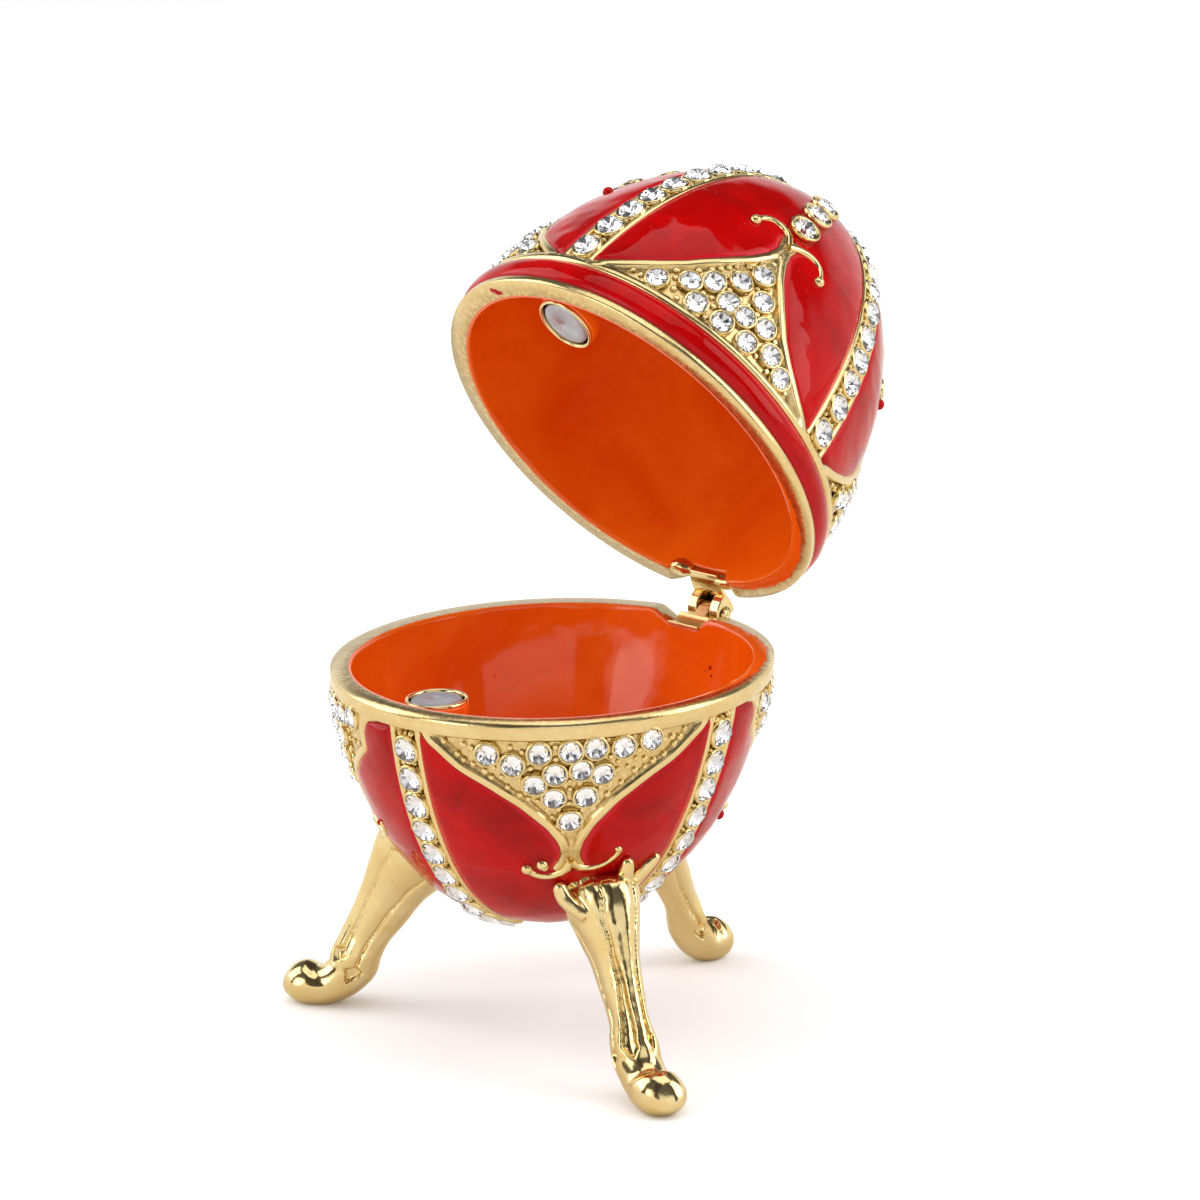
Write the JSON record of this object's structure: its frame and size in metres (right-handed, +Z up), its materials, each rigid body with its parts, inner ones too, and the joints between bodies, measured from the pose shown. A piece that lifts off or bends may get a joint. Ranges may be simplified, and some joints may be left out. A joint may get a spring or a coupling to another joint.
{
  "type": "jewelled egg trinket box",
  "caption": "Egg-shaped jewelled trinket box standing on cabriole legs, with a hinged lid, a hollow enamelled inside and a magnetic catch.",
  "frame": {"origin": "middle of the bounding box at the level of the surface that the feet stand on, with the lid open at its stop", "axes": "+Z up along the egg's axis; +Y towards the hinge at the back; +X to the right as seen from the catch at the front"},
  "size_m": [0.0538, 0.0642, 0.0842],
  "materials": {
    "red_enamel": "deep glossy translucent red enamel fields over gold-coloured castings",
    "gold_plate": "polished and cast gold-coloured plating",
    "magnet_nickel": "matt nickel-plated magnet discs",
    "orange_enamel": "glossy orange enamel inside both halves",
    "crystal": "clear faceted rhinestones"
  },
  "bodies": {
    "base": {"bowl": "red_enamel", "leg_back": "gold_plate", "leg_left": "gold_plate", "leg_right": "gold_plate", "bowl_magnet": "magnet_nickel", "hinge_leaf_bowl": "gold_plate", "hinge_pin": "gold_plate"},
    "lid": {"lid": "red_enamel", "lid_magnet": "magnet_nickel", "hinge_leaf_lid": "gold_plate"}
  },
  "joints": [
    {"name": "lid_hinge", "type": "hinge", "parent": "base", "child": "lid", "pos_m": [-0.00086, 0.01374, 0.03781], "axis": [-1, 0, 0], "range_deg": [-56.75, 0]}
  ]
}
